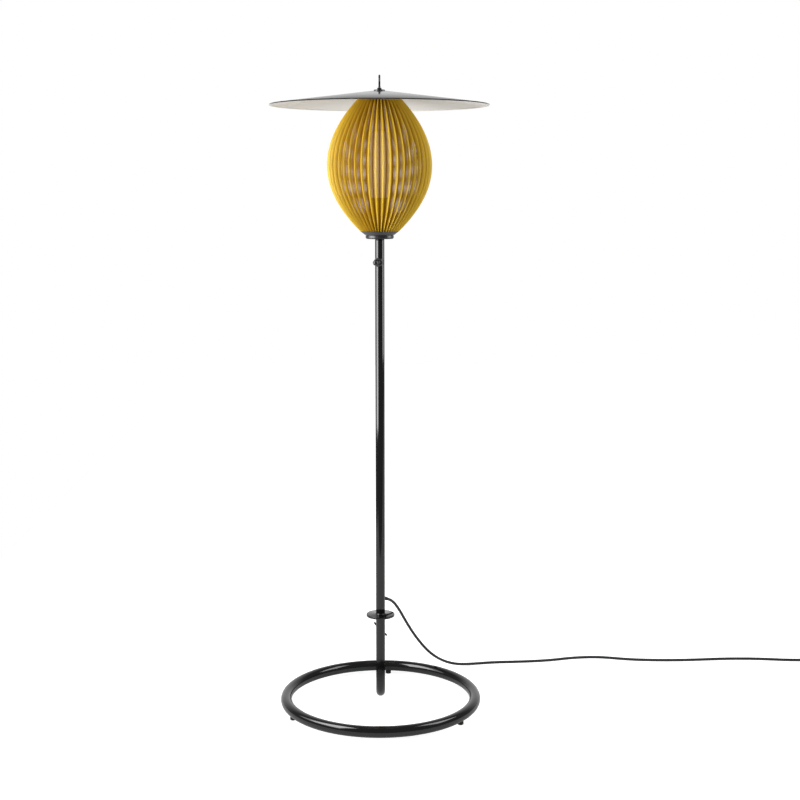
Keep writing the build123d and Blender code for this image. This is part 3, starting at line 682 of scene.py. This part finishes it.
def panel(name, first, count, node):
    """Several pleats side by side, as one piece of folded sheet."""
    bm = bmesh.new()
    bm.from_mesh(pleat)
    start = 2 * half_pleat * first + half_pleat - math.pi / 2
    bmesh.ops.rotate(bm, cent=(0, 0, 0), matrix=Matrix.Rotation(start, 3, "Z"), verts=bm.verts)
    bmesh.ops.spin(
        bm, geom=bm.verts[:] + bm.edges[:] + bm.faces[:], cent=(0, 0, 0), axis=(0, 0, 1),
        angle=2 * half_pleat * (count - 1), steps=count - 1, use_duplicate=True,
    )
    bmesh.ops.remove_doubles(bm, verts=bm.verts, dist=PLEAT_MERGE * MM)
    bmesh.ops.recalc_face_normals(bm, faces=bm.faces)
    if sum(f.normal.dot(f.calc_center_median() * Vector((1, 1, 0))) for f in bm.faces) < 0:
        bmesh.ops.reverse_faces(bm, faces=bm.faces)
    bmesh.ops.solidify(bm, geom=bm.faces[:], thickness=SHEET * MM)
    make_piece(name, bm, OCHRE, "lantern", [node], smooth_deg=50.0)


first_pleat = 0
for quarter, counts in PANELS.items():
    for number, count in enumerate(counts):
        panel(f"pleats_{quarter}_{number + 1}", first_pleat, count, f"shade_{quarter}")
        first_pleat += count
bpy.data.meshes.remove(pleat)

# %% [markdown]
# ## Weld
# The stem's end is cut to the bar's round and welded to it. A bead could be a plain ring, but the
# joint is a saddle, so a closed curve follows the line that the two rounds share. Its radius swells
# and thins from point to point, which leaves the ripples of a weld under the paint.

# %% Weld
WELD_POINTS, WELD_R, WELD_THIN = 44, 1.7, 0.7
saddle = []
for number in range(WELD_POINTS):
    turn = 2 * math.pi * number / WELD_POINTS
    side, rise = TUBE_R * math.cos(turn), TUBE_R * math.sin(turn)
    bar_skin = RING_R - math.sqrt(BAR_R**2 - rise**2)
    saddle.append((side, math.sqrt(bar_skin**2 - side**2), RING_Z + rise))
weld_line = spline_through("weld_line", saddle, resolution=2, closed=True)
weld_line.data.bevel_depth = WELD_R * MM
weld_line.data.bevel_resolution = 2
for number, point in enumerate(weld_line.data.splines[0].points):
    point.radius = 1.0 if number % 2 else WELD_THIN
bm = bmesh.new()
bm.from_mesh(mesh_of(weld_line))
bpy.data.objects.remove(weld_line)
make_piece("stem_weld", bm, GLOSS_BLACK, "base", [], smooth_deg=60.0)

# %% [markdown]
# ## Wing screw
# The screw that clamps the pole is a small casting: a coned hub with two ears for the fingers. One
# flat face of a few points, the right ear and its mirror image, is extruded to the ears' thickness
# and rounded all over. Two separate ears would leave hidden faces inside the hub. The hub and the
# shank are turned.

# %% Wing screw
CLAMP_Z, EAR_TURN_DEG, EAR_THICK, EAR_ROUNDING = 168.0, 47.0, 4.0, 1.2
RIGHT_EAR = [
    (0, 21.0), (20.4, 29.4), (22.0, 32.4), (19.6, 35.4), (16.0, 34.6), (8.5, 29.0), (0, 27.0)
]
BOTH_EARS = RIGHT_EAR + [(-x, z) for x, z in reversed(RIGHT_EAR[1:-1])]
HUB_OUTLINE = [(0, 8.9), (4.0, 8.9), (4.0, 18.6), (6.5, 18.6), (5.6, 26.2), (4.2, 27.6), (0, 28.0)]
bm = bmesh.new()
ears = bm.faces.new([bm.verts.new((x * MM, -EAR_THICK / 2 * MM, z * MM)) for x, z in BOTH_EARS])
grown = bmesh.ops.extrude_face_region(bm, geom=[ears], use_keep_orig=True)["geom"]
bmesh.ops.translate(bm, vec=(0, EAR_THICK * MM, 0), verts=verts_of(grown))
bmesh.ops.recalc_face_normals(bm, faces=bm.faces)
break_edges(bm, width=EAR_ROUNDING)
hub = bmesh.new()
turn_round(hub, outline(hub, HUB_OUTLINE), steps=40)
break_edges(hub, width=0.5)
hub_mesh = bpy.data.meshes.new("hub")
hub.to_mesh(hub_mesh)
hub.free()
bm.from_mesh(hub_mesh)
bpy.data.meshes.remove(hub_mesh)
to_clamp = moved(0, 0, CLAMP_Z) @ rotated(EAR_TURN_DEG, "Y") @ rotated(-90, "X")
bmesh.ops.transform(bm, matrix=to_clamp, verts=bm.verts)
make_piece("wing_clamp", bm, HAT_BLACK, "wing_screw", ["wing_screw"])

# %% [markdown]
# ## Ball ended screw
# A second screw near the pole's top holds the lantern. Its knob is a small ball on a coned neck,
# for two fingers. A sphere on a cone would leave a crease inside, so one outline runs from the
# shank over the collar and the neck into the ball, and is turned about the screw's own axis.

# %% Ball ended screw
BALL_Z, BALL_AZIMUTH_DEG = 1003.0, 256.0
BALL_R, BALL_REACH, BALL_FROM_DEG, BALL_STEPS = 6.0, 37.0, 43, 16
SHANK_OUTLINE = [(0, 8.9), (3.0, 8.9), (3.0, 17.1), (5.6, 17.1), (5.6, 19.0), (4.7, 19.9)]
ball_outline = []
for step in range(BALL_STEPS):
    angle = math.radians(BALL_FROM_DEG + (180 - BALL_FROM_DEG) * step / BALL_STEPS)
    ball_outline.append((BALL_R * math.sin(angle), BALL_REACH - BALL_R * math.cos(angle)))
ball_outline.append((0, BALL_REACH + BALL_R))
bm = bmesh.new()
turn_round(bm, outline(bm, SHANK_OUTLINE + ball_outline), steps=48)
break_edges(bm, width=0.3, above_deg=40.0)
to_pole_top = moved(0, 0, BALL_Z) @ rotated(BALL_AZIMUTH_DEG, "Z") @ rotated(90, "Y")
bmesh.ops.transform(bm, matrix=to_pole_top, verts=bm.verts)
make_piece(
    "ball_screw", bm, SATIN_BLACK, "thumb_screw", ["thumb_screw"], smooth_deg=40.0
)

# %% [markdown]
# ## Cord sleeve
# Where the lead leaves the pole, a rubber sleeve keeps it from kinking: a collar that snaps into
# the wall and a taper with grooves, so that it bends more and more towards its tip. Grooves cut
# afterwards would need a tool each, so they are part of the outline. The sleeve is turned about
# its own axis and then aimed out and down.

# %% Cord sleeve
SLEEVE_Z, SLEEVE_AZIMUTH_DEG, SLEEVE_DIP_DEG = 251.7, 60.4, 20.0
SLEEVE_ROOT, SLEEVE_TIP, SLEEVE_BORE, SLEEVE_R, SLEEVE_TAPER = 12.2, 31.25, 3.3, 4.7, 0.95


def sleeve_radius(reach):
    """Radius of the taper, by the distance from the pole's axis."""
    return SLEEVE_R - SLEEVE_TAPER * (reach - SLEEVE_ROOT) / (SLEEVE_TIP - SLEEVE_ROOT)


def grooved(radius_at, starts, depth, floor=1.2, flank=0.4):
    """Outline points of grooves cut into a taper, one at each start along its length."""
    points = []
    for at in starts:
        steps = [(0, 0), (flank, depth), (flank + floor, depth), (2 * flank + floor, 0)]
        points += [(radius_at(at + along) - cut, at + along) for along, cut in steps]
    return points


azimuth, dip = math.radians(SLEEVE_AZIMUTH_DEG), math.radians(SLEEVE_DIP_DEG)
level = math.cos(dip)
way_out = Vector((math.cos(azimuth) * level, math.sin(azimuth) * level, -math.sin(dip)))
turned(
    "cord_sleeve",
    [(SLEEVE_BORE, 8.8), (5.7, 8.8), (5.7, 11.6), (4.9, SLEEVE_ROOT)]
    + grooved(sleeve_radius, [14.0, 17.6, 21.2, 24.8], depth=0.7)
    + [(sleeve_radius(SLEEVE_TIP), SLEEVE_TIP), (SLEEVE_BORE, SLEEVE_TIP)],
    RUBBER, "pole", ["cord_gland"], steps=40, edge=0.2,
    matrix=moved(0, 0, SLEEVE_Z) @ way_out.to_track_quat("Z", "Y").to_matrix().to_4x4(),
)

# %% [markdown]
# ## Plug
# The plug is moulded on to the lead: a grooved sleeve, a waist with grip rings and a wide flat face
# with two pins. It could be cut from a block, but its grooves run round it, so it is turned like
# the other round parts. Then its height is flattened by a smooth curve, because a plug is wider
# than it is thick and lies flat on the floor.

# %% Plug
NECK_END, SHOULDER, WAIST_START, PLUG_FACE = 25.5, 28.0, 30.5, 66.0
NECK_R, NECK_GROWTH, WAIST_R, WAIST_GROWTH, WAIST_LENGTH = 4.75, 1.5, 12.2, 1.8, 20.0
PLUG_HALF_WIDTH, PLUG_HALF_THICK, FLATTENING = 18.0, 13.0, 1.8


def neck_radius(reach):
    """Radius of the plug's sleeve, by the distance from its end."""
    return NECK_R + NECK_GROWTH * reach / SHOULDER


def waist_radius(reach):
    """Radius of the plug's waist, by the same distance."""
    return WAIST_R + WAIST_GROWTH * (reach - SHOULDER) / WAIST_LENGTH


plug_outline = [(0, 0), (neck_radius(0), 0)]
plug_outline += grooved(neck_radius, [4.0, 8.0, 12.0, 16.0, 20.0], depth=0.9)
plug_outline += [(neck_radius(NECK_END), NECK_END), (9.0, SHOULDER)]
plug_outline += [(waist_radius(WAIST_START), WAIST_START)]
plug_outline += grooved(waist_radius, [33.0, 37.0, 41.0, 45.0], depth=0.8)
plug_outline += [(15.8, 53.5), (17.4, 58.0), (PLUG_HALF_WIDTH, 61.0)]
plug_outline += [(PLUG_HALF_WIDTH, PLUG_FACE), (0, PLUG_FACE)]
bm = bmesh.new()
turn_round(bm, outline(bm, plug_outline), steps=64)
break_edges(bm, width=0.35, above_deg=30.0, segments=2)
for vert in bm.verts:
    if vert.co.z > NECK_END * MM:
        share = min(1.0, abs(vert.co.x) / (PLUG_HALF_WIDTH * MM))
        thick = PLUG_HALF_THICK * MM * (1 - (1 - share) ** FLATTENING)
        vert.co.x = math.copysign(thick, vert.co.x)
lay_down = moved(PLUG_START, PLUG_Y, PLUG_Z) @ rotated(90, "Y")
bmesh.ops.transform(bm, matrix=lay_down, verts=bm.verts)
plug = make_piece("plug", bm, PLUG_PLASTIC, "base", ["plug_body"], smooth_deg=40.0)

# %% [markdown]
# ## Strap
# A band of woven webbing holds the coil. A bent box would need its inside cut out, so the band is
# grown from a line: one face with rounded corners gives it, its border is extruded to the band's
# width, the face is taken away, and the wall gets a thickness.

# %% Strap
STRAP_WALL, STRAP_CORNER = 1.0, 3.0
low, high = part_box("cord_tie")
bm = bmesh.new()
corners = [(low.y, low.z), (high.y, low.z), (high.y, high.z), (low.y, high.z)]
bm.faces.new([bm.verts.new((low.x, y, z)) for y, z in corners])
bmesh.ops.bevel(
    bm, geom=bm.verts[:], offset=STRAP_CORNER * MM, affect="VERTICES", segments=5, profile=0.5,
    material=-1,
)
grown = bmesh.ops.extrude_edge_only(bm, edges=bm.edges[:])["geom"]
bmesh.ops.translate(bm, vec=(high.x - low.x, 0, 0), verts=verts_of(grown))
cover = [face for face in bm.faces if len(face.verts) > 4]
bmesh.ops.delete(bm, geom=cover, context="FACES_ONLY")
bmesh.ops.recalc_face_normals(bm, faces=bm.faces)
middle = Vector((0, (low.y + high.y) / 2, (low.z + high.z) / 2))
if sum(f.normal.dot(f.calc_center_median() - middle) for f in bm.faces) < 0:
    bmesh.ops.reverse_faces(bm, faces=bm.faces)
bmesh.ops.solidify(bm, geom=bm.faces[:], thickness=STRAP_WALL * MM)
print("strap faces", len(bm.faces))

# %% [markdown]
# ## Loose end of the strap
# The end of the band lies on top and curls up a little, as webbing does where it was cut. A small
# grid is laid along the band and lifted by a cubic curve, which keeps it flat at its root.

# %% Loose end of the strap
TAIL_START, TAIL, TAIL_GAP, TAIL_CURL, TAIL_NARROWER, TAIL_WALL = 6.0, 15.0, 0.15, 1.6, 0.6, 0.8
tail = bmesh.ops.create_grid(bm, x_segments=3, y_segments=10, size=0.5)["verts"]
tail_width = high.x - low.x - TAIL_NARROWER * MM
for vert in tail:
    along = vert.co.y + 0.5
    lift = TAIL_GAP + TAIL_CURL * along**3
    vert.co = (
        (low.x + high.x) / 2 + vert.co.x * tail_width,
        low.y + (TAIL_START + along * TAIL) * MM,
        high.z + lift * MM,
    )
tail_faces = [face for face in bm.faces if face.verts[0] in tail]
bm.normal_update()
bmesh.ops.solidify(bm, geom=tail_faces, thickness=-TAIL_WALL * STRAP_WALL * MM)
bmesh.ops.recalc_face_normals(bm, faces=bm.faces)
break_edges(bm, width=0.25, above_deg=50.0, segments=2)
strap = make_piece(
    "coil_strap", bm, STRAP_WEBBING, "base", ["cord_tie"], smooth_deg=40.0
)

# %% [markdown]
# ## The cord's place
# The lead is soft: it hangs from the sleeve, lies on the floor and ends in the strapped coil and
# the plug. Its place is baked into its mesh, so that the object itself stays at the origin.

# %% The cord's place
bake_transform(cord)

# %% [markdown]
# ## Finishes of the solids
# The small turned and moulded parts are already right as solids. They could be modelled again, but
# that would add nothing, so they keep their shape and get a finish.

# %% Solids
solids = {
    GLOSS_BLACK: ["clamp_boss"],
    SATIN_BLACK: ["lantern_dish", "thumb_boss"],
    HAT_BLACK: ["hat_washer", "top_cap", "hat_spacer", "hanging_eye", "eye_nut"],
    CUP_GREY: ["shade_cup", "shade_seat", "top_seat"],
    RUBBER: ["foot_rear", "foot_left", "foot_right", "base_gasket", "holder_seal"],
    CORD_RUBBER: ["inner_cable"],
    HOLDER_PLASTIC: ["lamp_holder"],
    ZINC: ["foot_screws", "pole_spigot", "lantern_spigot", "lamp_nipple", "cup_nut", "cap_nut"],
    BRASS: ["holder_shell", "centre_contact"],
    NICKEL: ["lamp_cap", "plug_pins"],
    OPAL_PAINTED_GLOW: ["lamp_glass"],
    BOARD_WHITE: ["led_carrier"],
}
for material, names in solids.items():
    for name in names:
        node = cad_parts[name]
        node.data.materials.clear()
        node.data.materials.append(material)
print("finished solids", sum(len(names) for names in solids.values()))

# %% [markdown]
# ## Floor
# A plain sheet of floor carries the lamp's shadow. It is one face, and it reaches farther back and
# to the right, where the cord runs. A curved backdrop is not needed, because the surround is white.

# %% Floor
FLOOR_HALF, FLOOR_MIDDLE = 3.5, (2.3, 2.75, 0)
floor_bm = bmesh.new()
bmesh.ops.create_grid(floor_bm, x_segments=1, y_segments=1, size=FLOOR_HALF)
bmesh.ops.translate(floor_bm, vec=FLOOR_MIDDLE, verts=floor_bm.verts)
floor_mesh = bpy.data.meshes.new("floor")
floor_bm.to_mesh(floor_mesh)
floor_bm.free()
floor = add_object("floor", floor_mesh)
print("floor faces", len(floor_mesh.polygons))

# %% [markdown]
# ## White of the floor
# The floor is pale and keeps the shadow, but to the eye it has to be white. More light on it
# would also light the lamp, so it gives off a little light of its own, and only to rays from the
# camera or through glass. The black gloss mirrors a much dimmer floor.

# %% White of the floor
GLOW_SEEN, GLOW_MIRRORED = 0.75, 0.12


def math_node(tree, operation, first, second):
    """A Math node of two sockets or numbers, as its output socket."""
    node = tree.nodes.new("ShaderNodeMath")
    node.operation = operation
    for socket, value in zip(node.inputs, (first, second)):
        if isinstance(value, float):
            socket.default_value = value
        else:
            tree.links.new(value, socket)
    return node.outputs[0]


pale = bpy.data.materials.new("pale_floor")
pale.use_nodes = True
tree = pale.node_tree
shader = tree.nodes["Principled BSDF"]
shader.inputs["Base Color"].default_value = (0.8, 0.8, 0.8, 1)
shader.inputs["Roughness"].default_value = 0.9
shader.inputs["Specular IOR Level"].default_value = 0.0
shader.inputs["Emission Color"].default_value = (1, 1, 1, 1)
rays = tree.nodes.new("ShaderNodeLightPath").outputs
seen = math_node(tree, "MAXIMUM", rays["Is Camera Ray"], rays["Is Transmission Ray"])
bright = math_node(tree, "MULTIPLY", seen, GLOW_SEEN)
dim = math_node(tree, "MULTIPLY", rays["Is Glossy Ray"], GLOW_MIRRORED)
tree.links.new(math_node(tree, "MAXIMUM", bright, dim), shader.inputs["Emission Strength"])
floor_mesh.materials.append(pale)
print("floor finish", pale.name)

# %% [markdown]
# ## Surround
# The surround is white where the camera looks. Towards the camera's own side it falls off to a dark
# room, which is what a black gloss needs to look black in its middle. Matt surfaces get about half
# of it as an even light from all sides.

# %% Surround
DARK_ROOM, ROOM_END, WHITE_START, LIGHT_ON_MATT = 0.22, 0.5, 0.92, 0.52
world = bpy.data.worlds.new("white_surround")
bpy.context.scene.world = world
world.use_nodes = True
tree = world.node_tree
background = tree.nodes["Background"]
background.inputs["Color"].default_value = (1, 1, 1, 1)
rays = tree.nodes.new("ShaderNodeLightPath").outputs
direction = tree.nodes.new("ShaderNodeTexCoord")
parts = tree.nodes.new("ShaderNodeSeparateXYZ")
tree.links.new(direction.outputs["Object"], parts.inputs[0])
falloff = tree.nodes.new("ShaderNodeMapRange")
falloff.inputs["From Min"].default_value = ROOM_END
falloff.inputs["From Max"].default_value = WHITE_START
falloff.inputs["To Min"].default_value = DARK_ROOM
falloff.inputs["To Max"].default_value = 1.0
tree.links.new(parts.outputs["Y"], falloff.inputs["Value"])
mirrored = math_node(tree, "MULTIPLY", rays["Is Glossy Ray"], falloff.outputs["Result"])
seen = math_node(tree, "MAXIMUM", rays["Is Camera Ray"], rays["Is Transmission Ray"])
matt = math_node(tree, "MULTIPLY", rays["Is Diffuse Ray"], LIGHT_ON_MATT)
shown = math_node(tree, "MAXIMUM", math_node(tree, "MAXIMUM", seen, mirrored), matt)
tree.links.new(shown, background.inputs["Strength"])
print("surround", world.name)

# %% [markdown]
# ## Light
# Three soft boxes and three cards, as in a product studio. The boxes light the paint and the sheet;
# the cards are only mirrored in the black gloss, where they draw the long bright lines on the pole
# and the ring. A studio keeps the two apart with flags; here each light's ray visibility does it.
# One more flag keeps the cards off the hat, whose flat slope would mirror them whole from the side.

# %% Light
flagged = bpy.data.collections.new("flagged_from_cards")
flagged.objects.link(bpy.data.objects["hat_cone"])
flagged.collection_objects[0].light_linking.link_state = "EXCLUDE"


def soft_box(name, place_at, aim, size, watts, lights_paint=True):
    """A rectangular light, which either lights the paint or is only mirrored in the gloss."""
    data = bpy.data.lights.new(name, "AREA")
    data.shape = "RECTANGLE"
    data.size, data.size_y = size
    data.energy = watts
    lamp = add_object(name, data)
    lamp.location = place_at
    lamp.rotation_euler = (Vector(aim) - Vector(place_at)).to_track_quat("-Z", "Y").to_euler()
    lamp.visible_camera = False
    lamp.visible_diffuse = lights_paint
    lamp.visible_glossy = not lights_paint
    if not lights_paint:
        lamp.light_linking.receiver_collection = flagged
    print(name, watts, "W")


soft_box("left_box", (-2.3, -1.25, 1.1), (0, 0, 1.1), (1.7, 1.8), 76)
soft_box("right_box", (2.3, -1.5, 1.4), (0, 0, 1.1), (1.4, 1.8), 20)
soft_box("top_box", (0.0, -0.4, 3.2), (0, 0, 0.6), (2.0, 1.6), 25)
soft_box("left_card", (-0.73, -0.33, 1.25), (0, 0, 1.25), (0.62, 1.5), 23, lights_paint=False)
soft_box("left_card_edge", (-0.86, -0.28, 1.3), (0, 0, 1.3), (1.0, 1.7), 15, lights_paint=False)
soft_box("right_card", (1.00, -0.07, 1.42), (0, 0, 1.42), (0.6, 1.35), 14, lights_paint=False)
